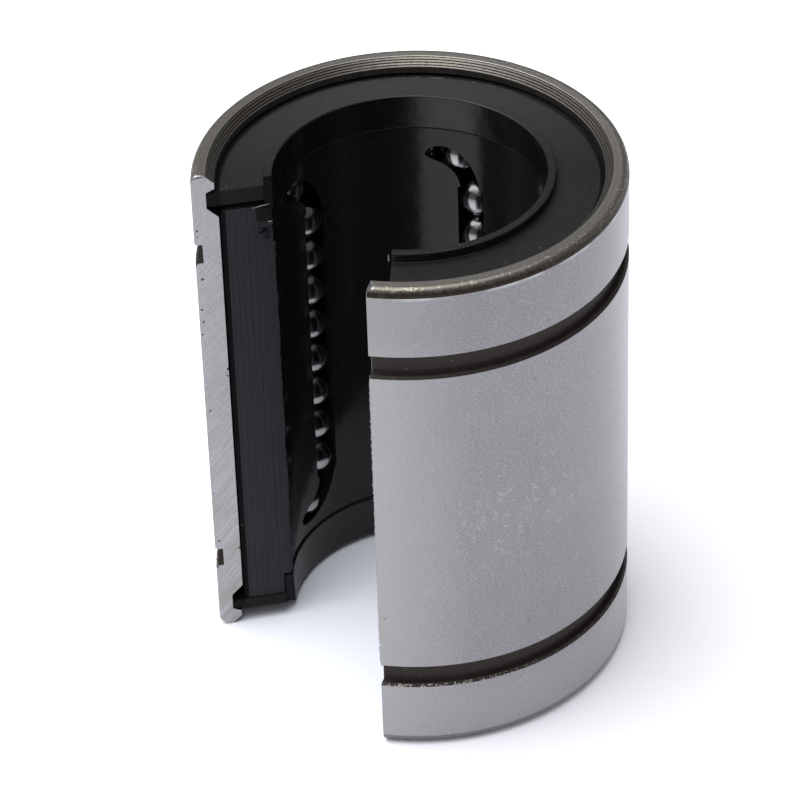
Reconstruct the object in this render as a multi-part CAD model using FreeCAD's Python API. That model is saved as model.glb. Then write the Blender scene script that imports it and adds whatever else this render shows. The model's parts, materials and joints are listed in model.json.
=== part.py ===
import FreeCAD, Part
import math
import os

from FreeCAD import Vector

# Open-type linear ball bearing: a slotted steel sleeve, a plastic cage with four
# recirculating ball circuits, and a snap-in rubber seal at each end.
# Frame: Z is the shaft's axis, the origin is at mid-length, the opening faces -Y.
# Lengths are in millimetres and angles in degrees.

# Shaft, balls and sleeve
SHAFT_D = 20.0
BALL_D = 3.175
BALL_PLAY = 0.03
LAND_HEIGHT = 0.815
SLEEVE_WALL = 1.95
LENGTH = 42.0

# Lengthwise opening: its width across the outside, and the angle between its faces
OPENING_WIDTH = 19.3
OPENING_ANGLE = 60.0

# Retaining-ring grooves round the outside
RING_GROOVE_SPAN = 30.5
RING_GROOVE_WIDTH = 1.6
RING_GROOVE_DEPTH = 0.6
RING_GROOVE_BEVEL = 0.18

# Ends of the sleeve: rounded outer corners, inner chamfer, lip and snap groove
UPPER_CORNER_RISE = 0.7
UPPER_CORNER_INSET = 0.25
LOWER_CORNER_RISE = 0.95
LOWER_CORNER_INSET = 0.5
MOUTH_CHAMFER = 0.6
LIP_STEP = 0.2
LIP_BEVEL = 0.3
SNAP_GROOVE_DEPTH = 0.85
SNAP_GROOVE_SLACK = 0.54

# Raceway lands
LAND_WIDTH = 3.4
LAND_RAMP = 0.8

# Ball circuits
CIRCUITS = 4
ROW_ANGLE = 30.0
CIRCUIT_SHIFT = 1.4
BALL_GAP = 0.025
TURN_BALL_GAP = 0.06
TURN_LEAN = 4.2
ROW_END_ROOM = 0.5
RETURN_GAP = 0.2

# Cage
CAGE_SHAFT_GAP = 0.2
CAGE_SLEEVE_GAP = 0.1
CAGE_PLAY = 1.01
CAGE_END_BEVEL = 0.3
CAGE_SET_BACK = 0.05
TRACK_GAP = 0.23
TRACK_OVERRUN = 0.3
TRACK_END_WALL = 0.6
TRACK_SIDE_WALL = 1.4

# End seals
SEAL_SHAFT_GAP = 0.05
SEAL_DEPTH = 1.28
SEAL_PLATE = 0.97
SEAL_EDGE_GAP = 0.4
SEAL_EDGE_DROP = 0.2
SEAL_SEAT_GAP = 0.03
SEAL_BEAD_ROUND = 0.3
UPPER_SEAL_OVERHANG = 0.2
LOWER_SEAL_OVERHANG = 0.6
RIM_HEIGHT = 0.73
RIM_ROUND = 0.15
COLLAR_WALL = 0.65
UPPER_COLLAR_REACH = 1.1
LOWER_COLLAR_REACH = 1.75
COLLAR_SIDE_GAP = 0.1
COLLAR_END_GAP = 0.15

# Radial build-up, from the shaft outwards
shaft_r = SHAFT_D / 2
ball_r = BALL_D / 2
loaded_r = shaft_r + BALL_PLAY + ball_r
land_r = loaded_r + ball_r + BALL_PLAY
bore_r = land_r + LAND_HEIGHT
outer_r = bore_r + SLEEVE_WALL
return_r = bore_r - RETURN_GAP - ball_r
track_r = ball_r + TRACK_GAP
cage_inner_r = shaft_r + CAGE_SHAFT_GAP
cage_outer_r = bore_r - CAGE_SLEEVE_GAP
lip_r = bore_r + LIP_STEP
snap_groove_r = bore_r + SNAP_GROOVE_DEPTH
seal_inner_r = shaft_r + SEAL_SHAFT_GAP
collar_r = seal_inner_r + COLLAR_WALL
recess_r = collar_r + COLLAR_SIDE_GAP

# Heights of the upper half, from mid-length
end_z = LENGTH / 2
plate_outer_z = end_z - SEAL_DEPTH
plate_inner_z = plate_outer_z - SEAL_PLATE
bead_top_z = plate_outer_z - SEAL_EDGE_DROP
snap_groove_top_z = bead_top_z + SEAL_SEAT_GAP
snap_groove_low_z = plate_inner_z - SNAP_GROOVE_SLACK
cage_top_z = plate_inner_z - CAGE_PLAY
cage_low_z = -plate_inner_z

# Opening: each face lies at half the opening angle to the mid-plane, and meets the outside at half the width
face_tilt = math.radians(OPENING_ANGLE / 2)
edge_angle = math.asin(OPENING_WIDTH / 2 / outer_r)
apex = outer_r * math.cos(edge_angle) - OPENING_WIDTH / 2 / math.tan(face_tilt)


def polar(radius, angle, z=0.0):
    """Point at a radius and an angle in degrees from +X."""
    turn = math.radians(angle)
    return Vector(radius * math.cos(turn), radius * math.sin(turn), z)


def corner(start, middle, end):
    """Arc through three points."""
    return Part.Arc(start, middle, end).toShape()


def outline(points):
    """Closed outline of straight sides through (radius, height) points."""
    corners = [Vector(radius, 0, z) for radius, z in points]
    return Part.makePolygon(corners + corners[:1])


def turned(wire, angle=360.0):
    """Solid turned about the shaft's axis from a closed outline in the XZ plane."""
    return Part.Face(wire).revolve(Vector(0, 0, 0), Vector(0, 0, 1), angle)


def cut_opening(shape, set_back=0.0):
    """Cuts the lengthwise opening, its two faces moved back into the piece by the set-back."""
    start = apex - set_back / math.sin(face_tilt)
    near = max(start, 0.0)
    far = outer_r * 1.2
    near_half = (near - start) * math.tan(face_tilt)
    far_half = (far - start) * math.tan(face_tilt)
    corners = [
        Vector(-near_half, -near, -LENGTH),
        Vector(near_half, -near, -LENGTH),
        Vector(far_half, -far, -LENGTH),
        Vector(-far_half, -far, -LENGTH),
    ]
    wedge = Part.Face(Part.makePolygon(corners + corners[:1]))
    return shape.cut(wedge.extrude(Vector(0, 0, 2 * LENGTH)))


# Ball circuits: where their rows and turns lie

# Angle from the opening's middle to the outermost row, which leaves a wall of cage beside its track
side_reach = track_r + TRACK_SIDE_WALL + CAGE_SET_BACK - apex * math.sin(face_tilt)
outermost_row = OPENING_ANGLE / 2 + math.degrees(math.asin(side_reach / loaded_r))
circuit_pitch = (360.0 - 2 * outermost_row - ROW_ANGLE) / (CIRCUITS - 1)


class Circuit:
    """One loop of balls: a loaded row, a return row, and a half-round turn at each end.

    The turn starts as far from the axis as the loaded row does, and its plane leans outwards
    from there, so that the turning balls are lifted clear of the shaft.
    """

    def __init__(self, number):
        middle = 90.0 + CIRCUIT_SHIFT + circuit_pitch * (number - (CIRCUITS + 1) / 2)
        self.loaded_angle = middle - ROW_ANGLE / 2
        self.loaded = polar(loaded_r, self.loaded_angle)
        self.returning = polar(return_r, middle + ROW_ANGLE / 2)
        chord = self.returning - self.loaded
        self.turn_r = chord.Length / 2
        self.across = chord / chord.Length
        self.outward = Vector(self.across.y, -self.across.x, 0)
        self.lift = loaded_r - self.loaded.dot(self.outward)
        self.middle = (self.loaded + self.returning) / 2 + self.outward * self.lift
        self.straight_z = cage_top_z - TRACK_END_WALL - track_r - self.turn_r

    def turn_centre(self, side):
        """Centre of the turn at the upper (1) or lower (-1) end."""
        return self.middle + Vector(0, 0, side * self.straight_z)

    def turn_rise(self, side):
        """Direction from the turn's centre to its top, which leans outwards."""
        lean = math.radians(TURN_LEAN)
        return self.outward * math.sin(lean) + Vector(0, 0, side * math.cos(lean))

    def turn_axis(self, side):
        """Direction square to the turn's leaning plane, outwards."""
        lean = math.radians(TURN_LEAN)
        return self.outward * math.cos(lean) - Vector(0, 0, side * math.sin(lean))


def track_section(circuit, foot, outward):
    """U-shaped section of a ball track: a round floor, and walls open to the outside of the cage."""
    side = circuit.across * track_r
    rise = outward * (outer_r - loaded_r)
    floor = corner(foot - side, foot - outward * track_r, foot + side)
    rim = Part.makePolygon([foot + side, foot + side + rise, foot - side + rise, foot - side])
    return Part.Face(Part.Wire([floor] + rim.Edges))


def ball_track(circuit):
    """Space of a whole circuit: two straight tracks, joined by a half-round turn at each end."""
    reach = Vector(0, 0, circuit.straight_z + TRACK_OVERRUN)
    pieces = []
    for row in (circuit.loaded, circuit.returning):
        pieces.append(track_section(circuit, row - reach, circuit.outward).extrude(reach * 2))
    for side in (1, -1):
        centre = circuit.turn_centre(side)
        axis = circuit.turn_axis(side)
        section = track_section(circuit, centre - circuit.across * circuit.turn_r, axis)
        pieces.append(section.revolve(centre, axis, -side * 180.0))
    return pieces[0].multiFuse(pieces[1:])


def ball(centre):
    """One ball of the set."""
    return Part.makeSphere(ball_r, centre)


def ball_row(circuit, foot):
    """Balls of one straight row, spread evenly about mid-length."""
    pitch = BALL_D + BALL_GAP
    room = 2 * (circuit.straight_z - ROW_END_ROOM)
    count = int(room / pitch) + 1
    heights = [pitch * (i - (count - 1) / 2) for i in range(count)]
    return Part.makeCompound([ball(foot + Vector(0, 0, z)) for z in heights])


def ball_turn(circuit, side):
    """Two balls in the turn at the upper (1) or lower (-1) end, either side of its top."""
    half_step = math.asin((BALL_D + TURN_BALL_GAP) / 2 / circuit.turn_r)
    reach = circuit.across * (circuit.turn_r * math.sin(half_step))
    top = circuit.turn_centre(side) + circuit.turn_rise(side) * (circuit.turn_r * math.cos(half_step))
    return Part.makeCompound([ball(top - reach), ball(top + reach)])


# Outer sleeve


def sleeve_half(rise, inset):
    """Upper half of the sleeve, turned, with its ring groove, rounded corner, lip and snap groove."""
    groove_top = RING_GROOVE_SPAN / 2
    floor_top = groove_top - RING_GROOVE_BEVEL
    floor_low = floor_top - RING_GROOVE_WIDTH
    groove_low = floor_low - RING_GROOVE_BEVEL
    floor_r = outer_r - RING_GROOVE_DEPTH
    bevel_r = outer_r - RING_GROOVE_BEVEL
    round_r = (rise**2 + inset**2) / (2 * inset)
    round_angle = math.asin(rise / round_r) / 2
    round_z = end_z - rise
    round_start = Vector(outer_r, 0, round_z)
    round_middle = Vector(
        outer_r - round_r * (1 - math.cos(round_angle)), 0, round_z + round_r * math.sin(round_angle)
    )
    round_end = Vector(outer_r - inset, 0, end_z)
    outside = [
        (bore_r, 0),
        (outer_r, 0),
        (outer_r, groove_low),
        (bevel_r, floor_low),
        (floor_r, floor_low),
        (floor_r, floor_top),
        (bevel_r, floor_top),
        (outer_r, groove_top),
        (outer_r, round_z),
    ]
    inside = [
        (outer_r - inset, end_z),
        (lip_r + MOUTH_CHAMFER, end_z),
        (lip_r, end_z - MOUTH_CHAMFER),
        (lip_r, snap_groove_top_z + LIP_BEVEL),
        (snap_groove_r, snap_groove_top_z),
        (snap_groove_r, snap_groove_low_z),
        (bore_r, snap_groove_low_z - SNAP_GROOVE_DEPTH),
        (bore_r, 0),
    ]
    edges = Part.makePolygon([Vector(r, 0, z) for r, z in outside]).Edges
    edges.append(corner(round_start, round_middle, round_end))
    edges += Part.makePolygon([Vector(r, 0, z) for r, z in inside]).Edges
    return turned(Part.Wire(edges))


def raceway_land(circuit):
    """Raised strip of the sleeve's bore that a loaded row runs on, ramped at both ends."""
    root_r = bore_r + SLEEVE_WALL / 4
    level = circuit.straight_z - LAND_RAMP
    strip = outline(
        [
            (land_r, -level),
            (land_r, level),
            (bore_r, circuit.straight_z),
            (root_r, circuit.straight_z),
            (root_r, -circuit.straight_z),
            (bore_r, -circuit.straight_z),
        ]
    )
    angle = 2 * math.degrees(math.asin(LAND_WIDTH / 2 / land_r))
    land = turned(strip, angle)
    land.rotate(Vector(0, 0, 0), Vector(0, 0, 1), circuit.loaded_angle - angle / 2)
    return land


def outer_sleeve(circuits):
    """Steel sleeve: two turned halves, the raceway lands, and the lengthwise opening."""
    upper = sleeve_half(UPPER_CORNER_RISE, UPPER_CORNER_INSET)
    lower = sleeve_half(LOWER_CORNER_RISE, LOWER_CORNER_INSET).mirror(Vector(0, 0, 0), Vector(0, 0, 1))
    lands = [raceway_land(circuit) for circuit in circuits]
    return cut_opening(upper.multiFuse([lower] + lands).removeSplitter())


# Ball cage


def land_groove(circuit):
    """Groove along the whole cage that slides over a raceway land."""
    groove = outline(
        [
            (land_r - CAGE_SLEEVE_GAP, -LENGTH),
            (outer_r, -LENGTH),
            (outer_r, LENGTH),
            (land_r - CAGE_SLEEVE_GAP, LENGTH),
        ]
    )
    half_width = LAND_WIDTH / 2 + CAGE_SLEEVE_GAP
    angle = 2 * math.degrees(math.asin(half_width / land_r))
    space = turned(groove, angle)
    space.rotate(Vector(0, 0, 0), Vector(0, 0, 1), circuit.loaded_angle - angle / 2)
    return space


def ball_cage(circuits):
    """Plastic cage: a turned tube with a recess for each seal collar, its tracks, land grooves and opening."""
    upper_recess_z = plate_inner_z - UPPER_COLLAR_REACH - COLLAR_END_GAP
    lower_recess_z = -plate_inner_z + LOWER_COLLAR_REACH + COLLAR_END_GAP
    body = turned(
        outline(
            [
                (cage_inner_r, lower_recess_z),
                (recess_r, lower_recess_z),
                (recess_r, cage_low_z),
                (cage_outer_r - CAGE_END_BEVEL, cage_low_z),
                (cage_outer_r, cage_low_z + CAGE_END_BEVEL),
                (cage_outer_r, cage_top_z - CAGE_END_BEVEL),
                (cage_outer_r - CAGE_END_BEVEL, cage_top_z),
                (recess_r, cage_top_z),
                (recess_r, upper_recess_z),
                (cage_inner_r, upper_recess_z),
            ]
        )
    )
    body = cut_opening(body, CAGE_SET_BACK)
    for circuit in circuits:
        body = body.cut(land_groove(circuit))
        body = body.cut(ball_track(circuit))
    return body


# End seals


def end_seal(collar_reach, overhang):
    """Rubber seal for the upper end: a plate with a bead in the snap groove, and a collar with a raised rim.

    Its ends stand out of the opening's faces by the overhang.
    """
    bead_r = snap_groove_r - SEAL_SEAT_GAP
    rim_z = plate_outer_z + RIM_HEIGHT
    slant = math.sqrt(0.5)

    def round_corner(centre_r, centre_z, radius, side_r, side_z):
        """Quarter round about a centre, from its radial side to its axial side."""
        start = Vector(centre_r + side_r * radius, 0, centre_z)
        middle = Vector(centre_r + side_r * radius * slant, 0, centre_z + side_z * radius * slant)
        end = Vector(centre_r, 0, centre_z + side_z * radius)
        return corner(start, middle, end)

    rounds = [
        round_corner(seal_inner_r + RIM_ROUND, rim_z - RIM_ROUND, RIM_ROUND, -1, 1),
        round_corner(collar_r - RIM_ROUND, rim_z - RIM_ROUND, RIM_ROUND, 1, 1),
        round_corner(bead_r - SEAL_BEAD_ROUND, bead_top_z - SEAL_BEAD_ROUND, SEAL_BEAD_ROUND, 1, 1),
        round_corner(bead_r - SEAL_BEAD_ROUND, plate_inner_z + SEAL_BEAD_ROUND, SEAL_BEAD_ROUND, 1, -1),
    ]
    runs = [
        [
            (bead_r - SEAL_BEAD_ROUND, plate_inner_z),
            (collar_r, plate_inner_z),
            (collar_r, plate_inner_z - collar_reach),
            (seal_inner_r, plate_inner_z - collar_reach),
            (seal_inner_r, rim_z - RIM_ROUND),
        ],
        [(seal_inner_r + RIM_ROUND, rim_z), (collar_r - RIM_ROUND, rim_z)],
        [
            (collar_r, rim_z - RIM_ROUND),
            (collar_r, plate_outer_z),
            (lip_r - SEAL_EDGE_GAP, plate_outer_z),
            (lip_r, bead_top_z),
            (bead_r - SEAL_BEAD_ROUND, bead_top_z),
        ],
        [(bead_r, bead_top_z - SEAL_BEAD_ROUND), (bead_r, plate_inner_z + SEAL_BEAD_ROUND)],
    ]
    edges = list(rounds)
    for run in runs:
        edges += Part.makePolygon([Vector(r, 0, z) for r, z in run]).Edges
    return cut_opening(turned(Part.Wire(Part.__sortEdges__(edges))), -overhang)


def build():
    """All pieces of the bearing, by node name."""
    circuits = [Circuit(number) for number in range(1, CIRCUITS + 1)]
    lower_seal = end_seal(LOWER_COLLAR_REACH, LOWER_SEAL_OVERHANG)
    nodes = {
        "outer_sleeve": outer_sleeve(circuits),
        "ball_cage": ball_cage(circuits),
        "upper_end_seal": end_seal(UPPER_COLLAR_REACH, UPPER_SEAL_OVERHANG),
        "lower_end_seal": lower_seal.mirror(Vector(0, 0, 0), Vector(0, 0, 1)),
    }
    for number, circuit in enumerate(circuits, start=1):
        nodes[f"loaded_balls_{number}"] = ball_row(circuit, circuit.loaded)
        nodes[f"return_balls_{number}"] = ball_row(circuit, circuit.returning)
        nodes[f"upper_turn_balls_{number}"] = ball_turn(circuit, 1)
        nodes[f"lower_turn_balls_{number}"] = ball_turn(circuit, -1)
    return nodes


os.makedirs("parts", exist_ok=True)
for name, shape in build().items():
    shape.exportStep(f"parts/{name}.step")
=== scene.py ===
# %% [markdown]
# # An open linear ball bearing
# The part is a slotted steel sleeve that holds a black plastic ball cage between two rubber seals.
# Four loops of steel balls run in the cage, and the long opening lets a rail carry the shaft from below.
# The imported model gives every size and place. This file gives the same pieces their finish.

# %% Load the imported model
import json
import math

import bmesh
import bpy
import numpy as np
from mathutils import Matrix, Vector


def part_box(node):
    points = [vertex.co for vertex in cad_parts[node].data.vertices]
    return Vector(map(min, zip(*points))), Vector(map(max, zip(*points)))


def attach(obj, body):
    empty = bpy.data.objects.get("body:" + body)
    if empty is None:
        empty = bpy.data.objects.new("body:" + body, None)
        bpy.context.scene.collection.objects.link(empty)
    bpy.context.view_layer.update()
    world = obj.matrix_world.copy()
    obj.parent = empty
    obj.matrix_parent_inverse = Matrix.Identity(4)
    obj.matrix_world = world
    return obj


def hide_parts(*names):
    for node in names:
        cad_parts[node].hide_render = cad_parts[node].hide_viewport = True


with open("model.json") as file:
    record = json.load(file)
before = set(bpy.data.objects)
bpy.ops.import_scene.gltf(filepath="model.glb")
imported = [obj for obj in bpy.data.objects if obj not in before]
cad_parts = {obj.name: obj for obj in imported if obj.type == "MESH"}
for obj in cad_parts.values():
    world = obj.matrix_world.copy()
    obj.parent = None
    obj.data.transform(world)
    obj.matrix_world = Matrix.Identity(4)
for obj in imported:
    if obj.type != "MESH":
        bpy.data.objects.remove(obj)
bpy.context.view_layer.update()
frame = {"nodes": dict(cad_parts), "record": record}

MM = 0.001

# %% [markdown]
# ## Camera
# The picture looks down on the bearing from the front right, with a long lens.
# A camera could be aimed with a constraint. Here its three axes are worked out from an azimuth, an
# elevation and a small roll, so that the whole view is a few plain numbers.

# %% Camera
VIEW_AZIMUTH = 49.38
VIEW_ELEVATION = 36.651
VIEW_ROLL = -1.955
VIEW_DISTANCE = 316.68
VIEW_TARGET = np.array([-0.705, -1.07, -0.217])
LENS = 188.16


def view_axes(azimuth, elevation, roll):
    """Right, up and back axes: back points from the target to the camera, right is level before the roll."""
    a, e, t = np.radians([azimuth, elevation, roll])
    back = np.array([np.sin(a) * np.cos(e), -np.cos(a) * np.cos(e), np.sin(e)])
    level = np.array([np.cos(a), np.sin(a), 0.0])
    upright = np.cross(back, level)
    right = level * np.cos(t) + upright * np.sin(t)
    up = upright * np.cos(t) - level * np.sin(t)
    return right, up, back


def standing(axes, place):
    """Matrix of an object with these axes of its own, at a place in millimetres."""
    matrix = np.eye(4)
    matrix[:3, :3] = np.stack(axes, axis=1)
    matrix[:3, 3] = place * MM
    return Matrix(matrix.tolist())


axes = view_axes(VIEW_AZIMUTH, VIEW_ELEVATION, VIEW_ROLL)
view_place = VIEW_TARGET + axes[2] * VIEW_DISTANCE
camera = bpy.data.objects.new("camera", bpy.data.cameras.new("camera"))
camera.data.lens = LENS
camera.data.clip_start = 0.01
camera.matrix_world = standing(axes, view_place)
bpy.context.scene.collection.objects.link(camera)
bpy.context.scene.camera = camera
print("camera at", np.round(view_place, 1), "mm")

# %% [markdown]
# ## Sizes
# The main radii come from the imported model: its mounts give the shaft bore, the housing seat and the ring
# grooves, and the boxes of its nodes give the rest. Millimetres are easier to read at this size, so the
# shapes are worked out in millimetres and put into the meshes in metres.

# %% Sizes from the frame
mounts = {mount["name"]: mount for mount in frame["record"]["mounts"]}
node_boxes = {name: np.array([list(c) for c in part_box(name)]) / MM for name in frame["nodes"]}
node_middles = {name: corners.mean(axis=0) for name, corners in node_boxes.items()}

OUTER_R = mounts["housing_seat"]["dims"]["r_mm"]
SEAL_INNER_R = mounts["shaft_bore"]["dims"]["r_mm"]
GROOVE_R = mounts["upper_ring_groove"]["dims"]["r_mm"]
GROOVE_WIDTH = mounts["upper_ring_groove"]["dims"]["length_mm"]
GROOVE_MID_Z = mounts["upper_ring_groove"]["pos_m"][2] / MM
END_Z = node_boxes["outer_sleeve"][1, 2]
BALL_R = np.ptp(node_boxes["loaded_balls_1"], axis=0)[0] / 2
CIRCUITS = 4

# The opening: two flat faces, each tilted from the mid-plane, that meet the outside this far apart
OPENING_WIDTH = 19.3
FACE_TILT = math.radians(30.0)
HALF_WIDTH = OPENING_WIDTH / 2
FACE_REACH = HALF_WIDTH * math.cos(FACE_TILT) - math.sqrt(OUTER_R**2 - HALF_WIDTH**2) * math.sin(FACE_TILT)
print("outside radius", OUTER_R, "half length", END_Z, "ball radius", round(BALL_R, 4))

# %% [markdown]
# ## Turned pieces
# The sleeve and the seals are turned shapes with a piece cut out. A screw modifier and a boolean could make
# them, but the cut would leave long thin faces and hard edges. Here one closed profile is carried round the
# axis as a grid, and each profile point stops where its own radius meets the opening's flat face.
# Every corner of the profile is a small arc, because real edges are never sharp and catch the light.

# %% Profiles and grids
ARC_STEP = math.radians(20.0)


def rounded_profile(corners):
    """Closed profile with rounded corners, as points, outward normals and the zone of each stretch.

    Corners are (radius, height, fillet, zone), in anticlockwise order, and a zone belongs to the side that
    starts there. A fillet is an arc whose normal turns evenly from one side's normal to the next one's, so
    point = centre + fillet * normal on an outer corner, and centre - fillet * normal on an inner one.
    A corner where the profile goes straight on is one point.
    """
    at = np.array([corner[:2] for corner in corners], float)
    side = np.roll(at, -1, axis=0) - at
    along = side / np.linalg.norm(side, axis=1)[:, None]
    points, normals, zones = [], [], []
    for i, (_, _, fillet, zone) in enumerate(corners):
        d_in, d_out = along[i - 1], along[i]
        turn = math.atan2(d_in[0] * d_out[1] - d_in[1] * d_out[0], d_in @ d_out)
        spread = np.linspace(0.0, turn, math.ceil(abs(turn) / ARC_STEP) + 1)
        n_in = np.array([d_in[1], -d_in[0]])
        n_left = np.array([-n_in[1], n_in[0]])
        normal = n_in * np.cos(spread)[:, None] + n_left * np.sin(spread)[:, None]
        radius = math.copysign(fillet, turn)
        centre = at[i] - d_in * fillet * math.tan(abs(turn) / 2) - n_in * radius
        points.append(centre + normal * radius)
        normals.append(normal)
        zones += [zone] * len(spread)
    return np.concatenate(points), np.concatenate(normals), np.array(zones)


def mirrored(corners, first_zone):
    """The same corners at the other end, in reverse order, with each zone on its own side again."""
    zones = [first_zone] + [corner[3] for corner in corners[:-1]]
    return [(r, -z, fillet, zone) for (r, z, fillet, _), zone in zip(corners, zones)][::-1]


def face_angle(radius, set_back):
    """Angle from -Y to the opening's face at a radius: tilt + asin((reach + set-back) / radius)."""
    return FACE_TILT + np.arcsin((FACE_REACH + set_back) / radius)


def turned_grid(profile, normals, turns, set_back, relief=None):
    """Points and normals of a profile carried round the axis between the opening's faces.

    The turn u runs from 0 at one face to 1 at the other: angle = b + u (360 degrees - 2 b), with b the face
    angle at the point's own radius. The point is (r sin angle, -r cos angle, z), and a relief lowers r.
    """
    radius, height = profile[:, :1], profile[:, 1:]
    b = face_angle(radius, set_back)
    angle = b + turns * (2 * np.pi - 2 * b)
    if relief:
        radius = radius - relief(radius, angle, height)
    sine, cosine = np.sin(angle), -np.cos(angle)
    points = np.stack(np.broadcast_arrays(radius * sine, radius * cosine, height), axis=-1)
    outward = normals[:, :1]
    facing = np.stack(np.broadcast_arrays(outward * sine, outward * cosine, normals[:, 1:]), axis=-1)
    return points, facing


def tube_faces(rows, columns):
    """Corner numbers of the faces between a closed ring of rows and an open run of columns, then two caps."""
    first = np.arange(rows) * columns
    here = first[:, None] + np.arange(columns - 1)
    there = np.roll(here, -1, axis=0)
    sides = np.stack([here, here + 1, there + 1, there], axis=-1).reshape(-1, 4)
    return sides.tolist() + [first.tolist(), (first + columns - 1)[::-1].tolist()]


def new_piece(name, body, points, faces, normals):
    """Smooth object at the origin from arrays in millimetres, with its own normals, that rides on a body."""
    mesh = bpy.data.meshes.new(name)
    mesh.from_pydata((points * MM).tolist(), [], faces)
    mesh.shade_smooth()
    mesh.normals_split_custom_set_from_vertices(normals.tolist())
    piece = bpy.data.objects.new(name, mesh)
    bpy.context.scene.collection.objects.link(piece)
    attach(piece, body)
    return piece


def read_all(items, name, width=3, kind=float):
    """One property of all items of a mesh, as an array with a row for each item."""
    values = np.empty(len(items) * width, kind)
    items.foreach_get(name, values)
    return values.reshape(-1, width)


def add_uv(piece, uv):
    """UV map from one pair of numbers for each vertex."""
    vertex = read_all(piece.data.loops, "vertex_index", 1, int)
    piece.data.uv_layers.new(name="surface").data.foreach_set("uv", uv[vertex].ravel())


print("face angle at the outside", round(math.degrees(face_angle(OUTER_R, 0.0)), 2))

# %% A turned piece with the opening cut out
CUT_BEVEL = (0.03, 0.03)


def opened_lathe(name, outline, turns, set_backs=(0.0, 0.0), bevel=CUT_BEVEL, relief=None, ragged=0.0):
    """Turned piece with the opening's two flat faces, whose edges are broken by a small bevel.

    The grid is the profile times the turn, and stops short of the face by the bevel's first size. One more
    column at each end is the profile moved inwards by its second size and set on the face itself, a little
    unevenly if ragged, and that column bounds the flat cap. Each end has a set-back of its own from the
    opening's face, which may change from one profile point to the next.
    The UV map is (length round the outside, length along the profile) in millimetres.
    """
    profile, normals, zones = outline
    set_back = set_backs[0] * (1 - turns) + set_backs[1] * turns
    points, facing = turned_grid(profile, normals, turns, set_back + bevel[0], relief)
    uneven = ragged * np.random.default_rng(len(profile)).normal(size=(len(profile), 2))
    uneven[:, :1] += set_backs[0]
    uneven[:, 1:] += set_backs[1]
    ends, _ = turned_grid(profile - normals * bevel[1], normals, np.array([0.0, 1.0]), uneven)
    face_normal = np.array([-math.cos(FACE_TILT), -math.sin(FACE_TILT), 0.0])
    caps = np.broadcast_to(np.stack([face_normal, face_normal * [-1, 1, 1]]), ends.shape)
    points = np.concatenate([ends[:, :1], points, ends[:, 1:]], axis=1)
    facing = np.concatenate([caps[:, :1], facing, caps[:, 1:]], axis=1)
    rows, columns = points.shape[:2]
    faces = tube_faces(rows, columns)
    piece = new_piece(name, "bearing", points.reshape(-1, 3), faces, facing.reshape(-1, 3))
    length = np.cumsum(np.linalg.norm(profile - np.roll(profile, 1, axis=0), axis=1))
    around = np.concatenate([turns[:1], turns, turns[-1:]]) * 2 * np.pi * OUTER_R
    add_uv(piece, np.stack(np.broadcast_arrays(around, length[:, None]), axis=-1).reshape(-1, 2))
    face_zones = np.repeat(zones[:, None], columns - 1, axis=1)
    face_zones[:, [0, -1]] = zones.max() + 1
    face_zones = np.append(face_zones, [zones.max() + 1] * 2)
    piece.data.polygons.foreach_set("material_index", face_zones.astype(np.int32))
    return piece


print("edges of the opening broken by", CUT_BEVEL, "mm")

# %% [markdown]
# ## Outer sleeve
# The sleeve is turned from bearing steel, hardened, and ground on the outside, and the opening is cut last.
# Two grooves outside hold retaining rings. At each end the corner is rounded, the mouth is chamfered with
# the tool's ridges left in it, and a snap groove inside holds the seal. In the bore stand four raceway lands.
# Modelling tools could cut each of these by hand. Here the grid follows one profile that has them all, and
# the lands are a change of radius over a few degrees of the turn.

# %% Profile of the sleeve
GROUND, GROOVE, CORNER, RIM, INSIDE = range(5)
EDGE_ROUND = 0.06
CORNER_ROUNDS = (0.9, 0.45)
RIDGE_ROUND = 0.035
GROOVE_BEVEL = 0.18
UPPER_CORNER = (0.7, 0.25)
LOWER_CORNER = (0.95, 0.5)
MOUTH_CHAMFER = 0.6
MOUTH_RIDGES = 4
RIDGE_DEPTH = 0.05
LIP_R = 14.25
LIP_BEVEL = 0.3
SNAP_GROOVE_R = 14.9
SNAP_GROOVE_Z = (18.21, 19.55)
BORE_R = 14.05
LAND_END_Z = 12.22
LAND_RAMP = 0.8

# Outer corner: its slope takes these shares of the inset and of the rise, and a short flat follows
SLOPE_INSET = 1.1
SLOPE_RISE = 0.63
CORNER_FLAT = 0.3


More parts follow.
